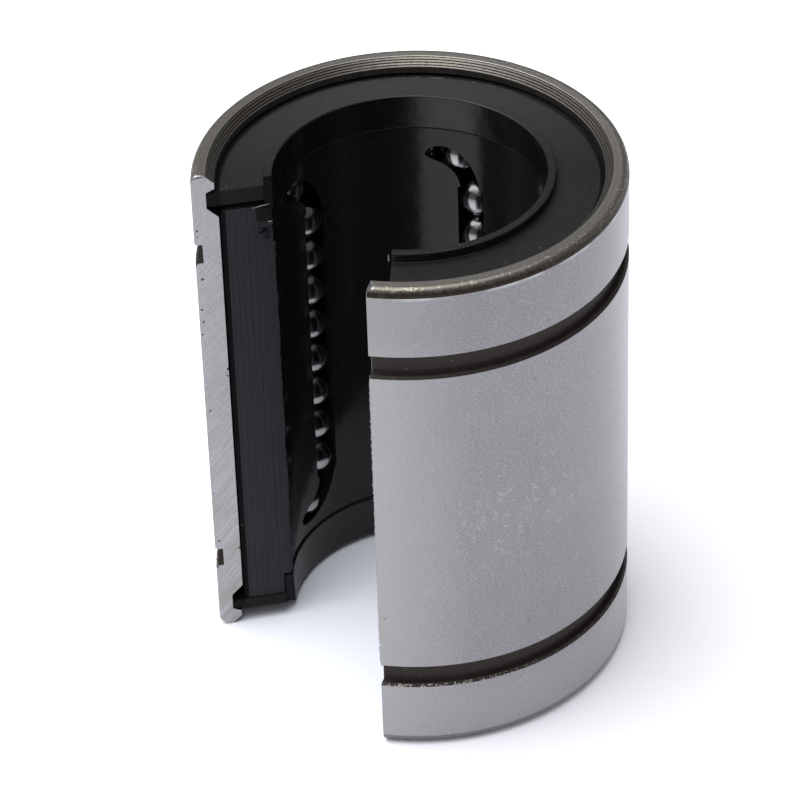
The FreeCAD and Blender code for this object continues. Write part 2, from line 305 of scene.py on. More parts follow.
def sleeve_half_profile(rise, inset):
    """Corners of the upper half, from the ring groove outside, over the end, to the lands in the bore.

    The outer corner is a short slope between two arcs. Its lower end is where the lower arc, which starts
    at the given rise below the end, would meet the slope: rise - round * tan(slope angle / 2).
    """
    slope_inset = SLOPE_INSET * inset
    slope = math.atan2(slope_inset, SLOPE_RISE * rise)
    corner_z = END_Z - rise + CORNER_ROUNDS[0] * math.tan(slope / 2)
    low, high = GROOVE_MID_Z - GROOVE_WIDTH / 2, GROOVE_MID_Z + GROOVE_WIDTH / 2
    outside = [
        (OUTER_R, low - GROOVE_BEVEL, EDGE_ROUND, GROOVE),
        (OUTER_R - GROOVE_BEVEL, low, EDGE_ROUND, GROOVE),
        (GROOVE_R, low, EDGE_ROUND, GROOVE),
        (GROOVE_R, high, EDGE_ROUND, GROOVE),
        (OUTER_R - GROOVE_BEVEL, high, EDGE_ROUND, GROOVE),
        (OUTER_R, high + GROOVE_BEVEL, EDGE_ROUND, GROUND),
        (OUTER_R, corner_z, CORNER_ROUNDS[0], CORNER),
        (OUTER_R - slope_inset, END_Z, CORNER_ROUNDS[1], CORNER),
        (OUTER_R - slope_inset - CORNER_FLAT, END_Z, 0.0, RIM),
        (LIP_R + MOUTH_CHAMFER, END_Z, EDGE_ROUND, RIM),
    ]
    for i in range(1, 2 * MOUTH_RIDGES):
        share = i / (2 * MOUTH_RIDGES)
        sink = RIDGE_DEPTH * (i % 2)
        outside.append((LIP_R + MOUTH_CHAMFER * (1 - share) + sink, END_Z - MOUTH_CHAMFER * share - sink,
                        RIDGE_ROUND, RIM))
    inside = [
        (LIP_R, END_Z - MOUTH_CHAMFER, EDGE_ROUND, INSIDE),
        (LIP_R, SNAP_GROOVE_Z[1] + LIP_BEVEL, EDGE_ROUND, INSIDE),
        (SNAP_GROOVE_R, SNAP_GROOVE_Z[1], EDGE_ROUND, INSIDE),
        (SNAP_GROOVE_R, SNAP_GROOVE_Z[0], EDGE_ROUND, INSIDE),
        (BORE_R, SNAP_GROOVE_Z[0] - SNAP_GROOVE_R + BORE_R, EDGE_ROUND, INSIDE),
        (BORE_R, LAND_END_Z, EDGE_ROUND, INSIDE),
        (BORE_R, LAND_END_Z - LAND_RAMP, EDGE_ROUND, INSIDE),
    ]
    return outside + inside


sleeve_corners = sleeve_half_profile(*UPPER_CORNER) + mirrored(sleeve_half_profile(*LOWER_CORNER), GROUND)
sleeve_outline = rounded_profile(sleeve_corners)
print("sleeve profile corners", len(sleeve_corners), "points", len(sleeve_outline[0]))

# %% Raceway lands
LAND_HEIGHT = 0.815
LAND_WIDTH = 3.4
land_middles = np.array([node_middles[f"loaded_balls_{n + 1}"] for n in range(CIRCUITS)])
land_angles = np.arctan2(land_middles[:, 0], -land_middles[:, 1]) % (2 * np.pi)
land_half_angle = math.asin(LAND_WIDTH / 2 / (BORE_R - LAND_HEIGHT))


def land_relief(radius, angle, height):
    """How far the lands stand into the bore: their height over their width, ramped at both ends."""
    ramped = np.clip((LAND_END_Z - np.abs(height)) / LAND_RAMP, 0.0, 1.0)
    on_land = np.abs(angle[..., None] - land_angles).min(axis=-1) < land_half_angle
    return LAND_HEIGHT * ramped * on_land * (radius < BORE_R + EDGE_ROUND / 10)


print("lands at", np.round(np.degrees(land_angles), 1), "degrees from -Y")

# %% Outer sleeve
SLEEVE_STEPS = 300
TOP_BEVEL = (0.45, 0.07)
TOP_FACING = 0.7
TOP_DEPTH = 0.5
MOUTH_MARGIN = 0.07
WALL_STEP = math.radians(0.05)
bore_edge = face_angle(BORE_R, EDGE_ROUND)
land_walls = land_half_angle + WALL_STEP * np.array([-1, 1])
wall_angles = (land_angles[:, None] + np.concatenate([land_walls, -land_walls])).ravel()
wall_turns = (wall_angles - bore_edge) / (2 * np.pi - 2 * bore_edge)
sleeve_turns = np.unique(np.concatenate([np.linspace(0.0, 1.0, SLEEVE_STEPS), wall_turns]))
radius, height = sleeve_outline[0][:, :1], sleeve_outline[0][:, 1:]
faces_up = sleeve_outline[1][:, 1:] > TOP_FACING
on_top = faces_up & (height > END_Z - TOP_DEPTH) & (radius > LIP_R + MOUTH_CHAMFER + MOUTH_MARGIN)
sleeve_bevel = [np.where(on_top, top, other) for top, other in zip(TOP_BEVEL, CUT_BEVEL)]
sleeve = opened_lathe("sleeve", sleeve_outline, sleeve_turns, bevel=sleeve_bevel,
                      relief=land_relief)
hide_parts("outer_sleeve")
print(sleeve.name, "faces", len(sleeve.data.polygons))

# %% [markdown]
# ## End seals
# Each seal is a rubber ring moulded in one piece. Its plate snaps into the sleeve's groove, a collar reaches
# down into the cage, and a raised rim wipes the shaft. It was cut through at the opening and its ends were
# trimmed by hand: they are a little uneven, one slants, and the lower rim is cut back. A copy of the packed
# mesh would lack those cuts, so it is turned the same way as the sleeve, and each end gets its own set-back.

# %% Profile of a seal
SEAL_PLATE, SEAL_EDGE, SEAL_WALL = range(3)
RUBBER_ROUND = 0.08
BEAD_ROUND = 0.3
RIM_ROUND = 0.12
FLASH_WIDTH = 0.06
PLATE_TOP_Z = 19.72
PLATE_BOTTOM_Z = {"upper": 18.45, "lower": 18.75}
BEAD_TOP_Z = 19.52
BEAD_R = SNAP_GROOVE_R - 0.03
PLATE_EDGE_R = LIP_R - 0.4
COLLAR_R = 10.7


def seal_profile(collar_end, plate_bottom, rim_top):
    """Corners of the upper seal's profile, from the collar's end, round the bead and plate, to the rim."""
    return [
        (SEAL_INNER_R, collar_end, RUBBER_ROUND, SEAL_PLATE),
        (COLLAR_R, collar_end, RUBBER_ROUND, SEAL_PLATE),
        (COLLAR_R, plate_bottom, RUBBER_ROUND, SEAL_PLATE),
        (BEAD_R, plate_bottom, BEAD_ROUND, SEAL_PLATE),
        (BEAD_R, BEAD_TOP_Z, BEAD_ROUND, SEAL_PLATE),
        (LIP_R, BEAD_TOP_Z, RUBBER_ROUND, SEAL_PLATE),
        (PLATE_EDGE_R, PLATE_TOP_Z, RUBBER_ROUND, SEAL_EDGE),
        (PLATE_EDGE_R - FLASH_WIDTH, PLATE_TOP_Z, 0.0, SEAL_PLATE),
        (COLLAR_R, PLATE_TOP_Z, RUBBER_ROUND, SEAL_PLATE),
        (COLLAR_R, rim_top, RIM_ROUND, SEAL_PLATE),
        (SEAL_INNER_R, rim_top, RIM_ROUND, SEAL_WALL),
    ]


print("seal bead radius", round(BEAD_R, 2), "plate edge radius", round(PLATE_EDGE_R, 2))

# %% End seals
SEAL_STEPS = 300
CUT_UNEVEN = 0.02
OVERHANG = {"upper": 0.2, "lower": 0.05}

# Slants of the hand-made cuts: set-back for each millimetre above the plate, and outwards of a radius
RIM_TRIM = {"upper": 0.0, "lower": 1.5}
NEAR_TRIM = {"upper": 0.246, "lower": 0.0}
NEAR_TRIM_R = 10.3

seals = []
for end in ("upper", "lower"):
    heights = np.abs(node_boxes[f"{end}_end_seal"][:, 2])
    corners = seal_profile(heights.min(), PLATE_BOTTOM_Z[end], heights.max())
    if end == "lower":
        corners = mirrored(corners, SEAL_WALL)
    outline = rounded_profile(corners)
    above_plate = np.clip(np.abs(outline[0][:, 1:]) - PLATE_TOP_Z, 0.0, None)
    trimmed = RIM_TRIM[end] * above_plate
    near_end = trimmed + NEAR_TRIM[end] * (outline[0][:, :1] - NEAR_TRIM_R)
    seal = opened_lathe(f"{end}_seal", outline, np.linspace(0.0, 1.0, SEAL_STEPS),
                        set_backs=(near_end, trimmed - OVERHANG[end]), ragged=CUT_UNEVEN)
    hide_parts(f"{end}_end_seal")
    seals.append(seal)
    print(seal.name, "faces", len(seal.data.polygons))

# %% [markdown]
# ## Balls
# The balls are hardened steel, ground and lapped to a mirror finish. Each group that moves together is one
# piece. Blender has a sphere of its own, but a group of spheres is one array sum here: the points of a unit
# sphere times the radius, plus each ball's centre. The poles are single points, so every ball is closed.

# %% A group of balls
SEEN_RINGS = 28
HIDDEN_RINGS = 14


def unit_sphere(rings, columns):
    """Points and faces of a unit sphere: (sin a cos b, sin a sin b, cos a), with one point at each pole."""
    a = np.linspace(0.0, np.pi, rings + 1)[1:-1, None]
    b = np.linspace(0.0, 2 * np.pi, columns, endpoint=False)
    belt = np.stack(np.broadcast_arrays(np.sin(a) * np.cos(b), np.sin(a) * np.sin(b), np.cos(a)), axis=-1)
    points = np.concatenate([belt.reshape(-1, 3), [[0, 0, 1], [0, 0, -1]]])
    here = np.arange(columns)
    after = (here + 1) % columns
    start = np.arange(rings - 2)[:, None] * columns
    belts = np.stack([start + here, start + here + columns, start + after + columns, start + after], axis=-1)
    north, south = len(points) - 2, len(points) - 1
    last = (rings - 2) * columns
    caps = [np.stack([np.full(columns, north), here, after], axis=-1),
            np.stack([np.full(columns, south), last + after, last + here], axis=-1)]
    return points, belts.reshape(-1, 4), np.concatenate(caps)


def ball_group(node, body, centres, rings):
    """One piece of equal balls: every centre plus the radius times the unit sphere."""
    sphere, belts, caps = unit_sphere(rings, 2 * rings)
    points = (centres[:, None] + BALL_R * sphere).reshape(-1, 3)
    shift = np.arange(len(centres))[:, None, None] * len(sphere)
    faces = (belts + shift).reshape(-1, 4).tolist() + (caps + shift).reshape(-1, 3).tolist()
    normals = np.tile(sphere, (len(centres), 1))
    piece = new_piece(f"{node}_polished", body, points, faces, normals)
    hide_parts(node)
    return piece


print("points on a ball that shows", len(unit_sphere(SEEN_RINGS, 2 * SEEN_RINGS)[0]))

# %% Balls
BALL_PITCH = 3.2


def row_centres(node):
    """Centres of a straight row: from its box, one ball pitch apart along Z."""
    length = np.ptp(node_boxes[node][:, 2]) - 2 * BALL_R
    heights = np.linspace(-length / 2, length / 2, round(length / BALL_PITCH) + 1)
    return node_middles[node] + heights[:, None] * [0, 0, 1]


def turn_centres(node, across):
    """Centres of the two balls of a turn: either side of its box's middle, across the loop."""
    half = (np.ptp(node_boxes[node][:, :2], axis=0) / 2 - BALL_R) * np.sign(across)
    return node_middles[node] + np.array([[-1], [1]]) * np.append(half, 0.0)


balls = []
for n in range(1, CIRCUITS + 1):
    loaded, returning = f"loaded_balls_{n}", f"return_balls_{n}"
    across = (node_middles[returning] - node_middles[loaded])[:2]
    balls.append(ball_group(loaded, f"loaded_row_{n}", row_centres(loaded), SEEN_RINGS))
    balls.append(ball_group(returning, f"return_row_{n}", row_centres(returning), HIDDEN_RINGS))
    for end in ("upper", "lower"):
        node = f"{end}_turn_balls_{n}"
        balls.append(ball_group(node, f"{end}_turn_{n}", turn_centres(node, across), SEEN_RINGS))
print("ball groups", len(balls), "faces", sum(len(piece.data.polygons) for piece in balls))

# %% [markdown]
# ## Ball cage
# The cage is an injection moulding whose tracks cross its wall in U-shaped turns. That shape is already
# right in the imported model, so this piece is a copy of its mesh, with the loose triangles merged.
# Long thin triangles shade badly on a glossy bore, so the bore gets the normals of a true cylinder.

# %% Copy of the cage's mesh
MERGE_DISTANCE = 0.002
SHARP_ANGLE = math.radians(30.0)


def merged_copy(node, name):
    """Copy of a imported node's mesh with its loose triangles joined, and sharp edges where faces turn."""
    mesh = frame["nodes"][node].data.copy()
    mesh.name = name
    mesh.materials.clear()
    work = bmesh.new()
    work.from_mesh(mesh)
    bmesh.ops.remove_doubles(work, verts=work.verts, dist=MERGE_DISTANCE * MM)
    bmesh.ops.dissolve_degenerate(work, edges=work.edges, dist=MERGE_DISTANCE * MM / 10)
    work.to_mesh(mesh)
    work.free()
    mesh.shade_smooth()
    mesh.set_sharp_from_angle(angle=SHARP_ANGLE)
    return mesh


cage_mesh = merged_copy("ball_cage", "cage")
print("cage points", len(cage_mesh.vertices), "faces", len(cage_mesh.polygons))

# %% Zones of the cage
CAGE_BORE, CAGE_BODY, CAGE_CUT = range(3)
CAGE_INNER_R = 10.2
BORE_TOLERANCE = 0.1
TOWARDS_AXIS = 0.98
SQUARE_TO_CUT = 0.999


def cage_zones(mesh):
    """Zone of each face: on the bore's cylinder, on the opening's flat faces, or anywhere else."""
    facing = read_all(mesh.polygons, "normal")
    middle = read_all(mesh.polygons, "center") / MM
    radius = np.linalg.norm(middle[:, :2], axis=1)
    inward = -(middle[:, :2] * facing[:, :2]).sum(axis=1) / radius
    bore = (np.abs(radius - CAGE_INNER_R) < BORE_TOLERANCE) & (inward > TOWARDS_AXIS)
    side = np.abs(facing[:, 0]) * math.cos(FACE_TILT) - facing[:, 1] * math.sin(FACE_TILT)
    cut = (side > SQUARE_TO_CUT) & (middle[:, 1] < 0)
    return np.where(bore, CAGE_BORE, np.where(cut, CAGE_CUT, CAGE_BODY))


zones = cage_zones(cage_mesh)
cage_mesh.polygons.foreach_set("material_index", zones.astype(np.int32))
print("cage faces on the bore", (zones == CAGE_BORE).sum(), "on the cut", (zones == CAGE_CUT).sum())

# %% Ball cage


def clean_normals(mesh, zones):
    """Corner normals: towards the axis on the bore, square to the cut on its faces, the mesh's own elsewhere.

    On a cut face the normal is (-side * cos tilt, -sin tilt, 0), with side 1 on the right and -1 on the left.
    """
    corners = read_all(mesh.corner_normals, "vector")
    vertex = read_all(mesh.loops, "vertex_index", 1, int).ravel()
    at = read_all(mesh.vertices, "co")[vertex]
    axis_way = -at * [1, 1, 0]
    axis_way /= np.linalg.norm(axis_way, axis=1)[:, None]
    cut_way = np.sign(at[:, :1]) * [-math.cos(FACE_TILT), 0.0, 0.0]
    cut_way[:, 1] = -math.sin(FACE_TILT)
    corner_zones = np.repeat(zones, 3)[:, None]
    corners = np.where(corner_zones == CAGE_BORE, axis_way, corners)
    corners = np.where(corner_zones == CAGE_CUT, cut_way, corners)
    mesh.normals_split_custom_set(corners.tolist())


clean_normals(cage_mesh, zones)
cage = bpy.data.objects.new("cage", cage_mesh)
bpy.context.scene.collection.objects.link(cage)
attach(cage, "bearing")
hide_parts("ball_cage")
print(cage.name, "box", np.round(np.ptp(node_boxes["ball_cage"], axis=0), 2), "mm")

# %% [markdown]
# ## Burrs
# The saw that cut the opening left a ragged fringe along the cage's inner edge, a few curls at the corners,
# painted white as glints, and a row of fine teeth on one edge of the steel. A sculpting brush could make
# them.
# Here each one is a thin three-sided thread laid along a line on the cut face, and its width changes from
# step to step.

# %% Threads on the cut faces
THREAD_DEPTH = 0.06


def thread(side, radius, height, width, proud):
    """Points of a three-sided thread on one of the opening's faces, one triangle for each step.

    On the face, point = axis-side normal * (reach - proud) + tangent * sqrt(radius^2 - (reach - proud)^2).
    The corners are the line itself, the line less the width, and a point behind the first.
    """
    def placed(r, out):
        reach = FACE_REACH - out
        along = np.sqrt(r**2 - reach**2)
        x = side * (math.cos(FACE_TILT) * reach + math.sin(FACE_TILT) * along)
        return np.stack([x, math.sin(FACE_TILT) * reach - math.cos(FACE_TILT) * along, height], axis=-1)
    behind = placed(radius, proud - THREAD_DEPTH)
    return np.stack([placed(radius, proud), placed(radius - width, proud), behind])


def threads_piece(name, threads):
    """One piece of closed threads, whose normals are those of the mesh."""
    points, faces = [], []
    for grid in threads:
        start = sum(len(block) for block in points)
        faces += [[start + corner for corner in face] for face in tube_faces(*grid.shape[:2])]
        points.append(grid.reshape(-1, 3))
    mesh = bpy.data.meshes.new(name)
    mesh.from_pydata((np.concatenate(points) * MM).tolist(), [], faces)
    work = bmesh.new()
    work.from_mesh(mesh)
    bmesh.ops.recalc_face_normals(work, faces=work.faces)
    work.to_mesh(mesh)
    work.free()
    piece = bpy.data.objects.new(name, mesh)
    bpy.context.scene.collection.objects.link(piece)
    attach(piece, "bearing")
    print(name, "faces", len(mesh.polygons))
    return piece


print("depth of a thread", THREAD_DEPTH, "mm")

# %% Fringe of the plastic
FRINGE_ENDS = (-16.5, 14.6)
FRINGE_STEPS = 420
FRINGE_R = CAGE_INNER_R + 0.08
FRINGE_PROUD = 0.012
FRINGE_WIDTH = 0.1
SWELL_ENDS = (-17.0, 15.0)
SWELL_STEPS = 60
SWELL_WIDTH = 0.12
RAGGED_WIDTH = 0.05

chance = np.random.default_rng(7)
fringe = []
for side in (-1, 1):
    height = np.linspace(*FRINGE_ENDS, FRINGE_STEPS)
    swell_z = np.linspace(*SWELL_ENDS, SWELL_STEPS)
    swell = np.interp(height, swell_z, chance.uniform(0.0, SWELL_WIDTH, SWELL_STEPS))
    width = FRINGE_WIDTH + swell + chance.uniform(0.0, RAGGED_WIDTH, FRINGE_STEPS)
    fringe.append(thread(side, np.full(FRINGE_STEPS, FRINGE_R), height, width, FRINGE_PROUD))
edge_burrs = threads_piece("edge_burrs", fringe)

# %% Curls, painted white as glints
CURL_STEPS = 24
CURL_R = (11.6, 10.35)
CURL_Z = (17.86, 18.06)
CURL_WIDTH = (0.03, 0.05)
CURL_LIFT = (0.05, 0.1)
CURL_PROUD = 0.26
TEAR_R = (10.52, 10.2)
TEAR_Z = (16.33, 16.33)
TEAR_WIDTH = 0.02
TEAR_LIFT = 0.09
TEAR_PROUD = 0.02
SHRED_R = (10.2, 10.32)
SHRED_Z = (19.5, 20.0)
SHRED_WIDTH = (0.0, 0.2)
SHRED_PROUD = 0.3


def run(ends):
    """Even steps from one end to the other."""
    return np.linspace(*ends, CURL_STEPS)


curl = thread(-1, run(CURL_R), run(CURL_Z), chance.uniform(*CURL_WIDTH, CURL_STEPS), CURL_PROUD)
curl[1, :, 2] += chance.uniform(*CURL_LIFT, CURL_STEPS)
tear = thread(-1, run(TEAR_R), run(TEAR_Z), TEAR_WIDTH, TEAR_PROUD)
tear[1, :, 2] += TEAR_LIFT
shred_r = chance.uniform(*SHRED_R, CURL_STEPS)
shred = thread(1, shred_r, run(SHRED_Z), chance.uniform(*SHRED_WIDTH, CURL_STEPS), SHRED_PROUD)
glint_burrs = threads_piece("glint_burrs", [curl, tear, shred])

# %% Teeth on the steel
TOOTH_STEPS = 500
TOOTH_R = OUTER_R - 0.02
TOOTH_PROUD = 0.1
TOOTH_WIDTH = 0.05
TOOTH_END_Z = GROOVE_MID_Z - 1.3

height = np.linspace(-TOOTH_END_Z, TOOTH_END_Z, TOOTH_STEPS)
proud = TOOTH_PROUD * chance.uniform(0.0, 1.0, TOOTH_STEPS)**3
teeth = thread(1, np.full(TOOTH_STEPS, TOOTH_R), height, TOOTH_WIDTH, proud)
steel_burrs = threads_piece("steel_burrs", [teeth])

# %% [markdown]
# ## Shared effects
# Several finishes need the same few things: soft blotches, fine lines that run one way, and small specks.
# Each could be built anew in every material. As a node group it is built once and puts out one value, and
# every material uses it with its own numbers.

# %% Node helpers


def add_node(tree, kind, inputs=None, **settings):
    """Adds a node, sets its properties, and gives each listed input a value or a link."""
    made = tree.nodes.new("ShaderNode" + kind)
    for key, value in settings.items():
        setattr(made, key, value)
    for key, value in (inputs or {}).items():
        if isinstance(value, bpy.types.NodeSocket):
            tree.links.new(value, made.inputs[key])
        else:
            made.inputs[key].default_value = value
    return made


def calc(operation, *values):
    """Result of a Math node. Here and below, the first link says which tree the node belongs to."""
    return add_node(values[0].id_data, "Math", dict(enumerate(values)), operation=operation).outputs[0]


def ramp(value, low, high, low_out=0.0, high_out=1.0):
    """Value carried from one range to another and held at its ends."""
    inputs = {"Value": value, "From Min": low, "From Max": high, "To Min": low_out, "To Max": high_out}
    return add_node(value.id_data, "MapRange", inputs).outputs["Result"]


def blend(share, first, second):
    """Colour between two colours."""
    inputs = {"Factor": share}
    for key, colour in ((6, first), (7, second)):
        inputs[key] = colour if isinstance(colour, bpy.types.NodeSocket) else (*colour, 1.0)
    return add_node(share.id_data, "Mix", inputs, data_type="RGBA").outputs[2]


def split(vector):
    """The three numbers of a vector."""
    return add_node(vector.id_data, "SeparateXYZ", {0: vector}).outputs


def measure(operation, vector, other=(0.0, 0.0, 0.0)):
    """One number from two vectors, such as their distance or their dot product."""
    return add_node(vector.id_data, "VectorMath", {0: vector, 1: other}, operation=operation).outputs["Value"]


def stretch(vector, factors):
    """Vector times a factor for each axis."""
    inputs = {0: vector, 1: factors}
    return add_node(vector.id_data, "VectorMath", inputs, operation="MULTIPLY").outputs["Vector"]


print("node helpers", [helper.__name__ for helper in (calc, ramp, blend, split, measure, stretch)])

# %% Blotches, lines and specks


def new_group(name, sockets):
    """Empty node group with a vector input, named number inputs and one value output."""
    tree = bpy.data.node_groups.new(name, "ShaderNodeTree")
    tree.interface.new_socket("Vector", in_out="INPUT", socket_type="NodeSocketVector")
    for socket in sockets:
        tree.interface.new_socket(socket, in_out="INPUT", socket_type="NodeSocketFloat")
    tree.interface.new_socket("Value", in_out="OUTPUT", socket_type="NodeSocketFloat")
    source = tree.nodes.new("NodeGroupInput")
    return tree, source.outputs


def close_group(tree, value):
    """Sends the group's result to its output."""
    tree.links.new(value, tree.nodes.new("NodeGroupOutput").inputs["Value"])
    return tree


def noise(vector, scale, detail, roughness):
    """Cloudy noise, about 0.5 in the mean."""
    inputs = {"Vector": vector, "Scale": scale, "Detail": detail, "Roughness": roughness}
    return add_node(vector.id_data, "TexNoise", inputs).outputs[0]


group, given = new_group("blotches", ["Scale", "Contrast"])
clouds = noise(given["Vector"], given["Scale"], 4.0, 0.6)
swing = calc("MULTIPLY", calc("SUBTRACT", clouds, 0.5), given["Contrast"])
blotches = close_group(group, calc("ADD", swing, 0.5))

group, given = new_group("fine_lines", ["Along", "Across"])
factors = add_node(group, "CombineXYZ", {0: given["Along"], 1: given["Across"], 2: given["Along"]}).outputs[0]
fine_lines = close_group(group, noise(stretch(given["Vector"], factors), 1.0, 3.0, 0.7))

group, given = new_group("specks", ["Scale", "Size", "Share"])
cells = add_node(group, "TexVoronoi", {"Vector": given["Vector"], "Scale": given["Scale"]}).outputs
lots = add_node(group, "SeparateColor", {0: cells["Color"]}).outputs
spot = calc("LESS_THAN", cells["Distance"], calc("MULTIPLY", given["Size"], lots[0]))
kept = calc("LESS_THAN", lots[1], given["Share"])
specks = close_group(group, calc("MULTIPLY", spot, kept))
print("shared effects", [tree.name for tree in (blotches, fine_lines, specks)])

# %% A material and its surface


def effect(group, vector, **values):
    """Value of a shared effect placed in a material."""
    return add_node(vector.id_data, "Group", {"Vector": vector, **values}, node_tree=group).outputs["Value"]


def socket_name(word):
    """Name of a shader input, such as Base Color for base_color."""
    return word.replace("_", " ").title().replace("Ior", "IOR")


def new_material(name, **constants):
    """Material with a Principled BSDF, whose constants are set on the shader itself."""
    material = bpy.data.materials.new(name)
    material.use_nodes = True
    shader = material.node_tree.nodes["Principled BSDF"]
    for key, value in constants.items():
        shader.inputs[socket_name(key)].default_value = value
    return material, material.node_tree


def dress(material, relief=None, depth=0.0, **links):
    """Links values to the shader's inputs, and a bump whose relief times the depth is in millimetres."""
    tree = material.node_tree
    shader = tree.nodes["Principled BSDF"]
    for key, value in links.items():
        tree.links.new(value, shader.inputs[socket_name(key)])
    if relief is not None:
        bump = add_node(tree, "Bump", {"Height": relief, "Distance": depth * MM})
        tree.links.new(bump.outputs[0], shader.inputs["Normal"])
    print(material.name, "nodes", len(tree.nodes))


def object_mm(tree):
    """Object coordinates in millimetres."""
    source = add_node(tree, "TexCoord").outputs["Object"]
    return add_node(tree, "Mapping", {"Vector": source, "Scale": [1 / MM] * 3}).outputs[0]


def surface_mm(tree):
    """The piece's own UV map, in millimetres round and along its profile."""
    return add_node(tree, "UVMap", uv_map="surface").outputs[0]


def on_face(at, turn):
    """Flat coordinates on the opening's faces, (distance from the axis, height), turned by an angle."""
    tree = at.id_data
    radius = measure("LENGTH", stretch(at, (1.0, 1.0, 0.0)))
    flat = add_node(tree, "CombineXYZ", {0: radius, 1: split(at)[2]}).outputs[0]
    return add_node(tree, "Mapping", {"Vector": flat, "Rotation": (0.0, 0.0, turn)}).outputs[0]


print("a shader input's name", socket_name("specular_ior_level"))

# %% [markdown]
# ## Ground outside
# The sleeve's steel has six finishes, which differ in colour, roughness and the direction of their lines.
# The outside is ground to a satin grey, with a fine mottled grain. Light is painted into its tone: a painted
# reflection makes it lighter beside the cut and near the lower end, painted shade makes it darker towards the
# upper end, and a thin painted highlight runs just below the top corner. Its lower corner is dark. A picture
# of steel could be wrapped round it. Noise in the piece's own millimetres has no seam and is sharp at any
# distance, so the tone is mixed from noise and from height.

# %% Ground outside
LIT_BESIDE_CUT = (0.0, 9.0)
SHADED_UPPER_BAND = (13.0, 17.0)
LIT_LOWER_BAND = (-14.5, -16.5)
TOP_EDGE_HIGHLIGHT = (20.0, 20.2)
DARK_CORNER = (0.92 - END_Z, 0.8 - END_Z)

ground, tree = new_material("ground_outside", metallic=1.0, coat_weight=0.5, coat_roughness=0.2)
at = object_mm(tree)
skin = surface_mm(tree)
height = split(at)[2]
cloud = effect(blotches, at, Scale=0.35, Contrast=1.6)
patch = effect(blotches, at, Scale=1.7, Contrast=1.4)
lines = effect(fine_lines, skin, Along=0.25, Across=22.0)
grain = effect(fine_lines, skin, Along=3.0, Across=8.0)
tone = blend(cloud, (0.27, 0.267, 0.278), (0.312, 0.308, 0.321))
tone = blend(ramp(patch, 0.55, 1.0, 0.0, 0.4), tone, (0.37, 0.365, 0.378))
tone = blend(ramp(grain, 0.5, 0.7, 0.0, 0.7), tone, (0.47, 0.465, 0.481))
tone = blend(ramp(grain, 0.3, 0.5, 0.7, 0.0), tone, (0.15, 0.148, 0.154))
from_cut = split(skin)[0]
# Painted reflection: lighter and warmer within 9 mm of the cut.
tone = blend(ramp(from_cut, *LIT_BESIDE_CUT, 0.75, 0.0), tone, (0.45, 0.446, 0.437))
# Painted shade: darker towards the upper end.
tone = blend(ramp(height, *SHADED_UPPER_BAND, 0.0, 0.4), tone, (0.24, 0.237, 0.247))
# Painted reflection: lighter near the lower end.
tone = blend(ramp(height, *LIT_LOWER_BAND, 0.0, 0.65), tone, (0.39, 0.385, 0.398))
tone = blend(ramp(height, *DARK_CORNER, 0.0, 0.8), tone, (0.13, 0.126, 0.128))
# Painted highlight: a thin light line just below the top corner, broken by the cloud.
edge_highlight = calc("MULTIPLY", ramp(height, *TOP_EDGE_HIGHLIGHT), ramp(cloud, 0.4, 0.7))
ground_tone = blend(edge_highlight, tone, (0.5, 0.5, 0.51))
print(ground.name, "tones so far", len(tree.nodes), "nodes")

# %% [markdown]
# ## Scuffs on the ground outside
# Handling left light hair scuffs and smears, most of them round one rubbed place, with a few stains and pits.
# They could be painted by hand. Here a hair is where one noise crosses its own middle value, so the scuffs
# curl by themselves, and the distance from the rubbed place says how many there are.

# %% Scuffs on the ground outside
RUBBED_PLACE = (15.5, -4.0, 0.5)
RUBBED_REACH = (3.0, 6.5)

rubbed = ramp(measure("DISTANCE", at, RUBBED_PLACE), *RUBBED_REACH, 1.0, 0.25)
worn = calc("ADD", rubbed, ramp(cloud, 0.6, 0.9, 0.0, 0.5))
swirl = effect(blotches, skin, Scale=1.1, Contrast=1.0)
hair = ramp(calc("ABSOLUTE", calc("SUBTRACT", swirl, 0.5)), 0.0, 0.03, 1.0, 0.0)
smear = calc("MULTIPLY", patch, ramp(grain, 0.4, 0.6, 0.6, 1.0))
smear = ramp(smear, 0.55, 0.9, 0.0, 0.5)
scuffs = calc("MULTIPLY", hair, ramp(patch, 0.55, 0.7))
scuffs = calc("MULTIPLY", worn, calc("MAXIMUM", scuffs, smear))
stain = effect(specks, at, Scale=0.22, Size=0.09, Share=0.4)
pits = effect(specks, at, Scale=0.8, Size=0.09, Share=0.25)
tone = blend(scuffs, ground_tone, (0.5, 0.495, 0.505))
tone = blend(calc("MULTIPLY", stain, 0.25), tone, (0.14, 0.13, 0.125))
tone = blend(pits, tone, (0.12, 0.11, 0.11))
dress(ground, base_color=tone, roughness=ramp(patch, 0.2, 0.9, 0.26, 0.36),
      relief=calc("ADD", lines, grain), depth=0.004)

# %% [markdown]
# ## Turned ends
# The end faces and the mouths are as the lathe left them, with the tool's ridges and a warm tone from
# hardening. Painted shade darkens the tone on the near and left stretches, and darkens the ridges in the
# mouth except at the far middle, where they stay lit. A mask could be painted for that. The dot product of
# the place with a level direction gives the same mask in one node.

# %% Turned ends
RIGHT_WAY = (0.65, 0.76, 0.0)
FAR_WAY = (-0.76, 0.65, 0.0)
NEAR_SHADE_RANGE = (-10.0, 6.0)
LEFT_SHADE_RANGE = (-1.0, -12.0)
MOUTH_TOP = (END_Z - 0.02, END_Z - 0.06)
LIT_PLACE = 1.5
LIT_REACH = (1.5, 8.0)

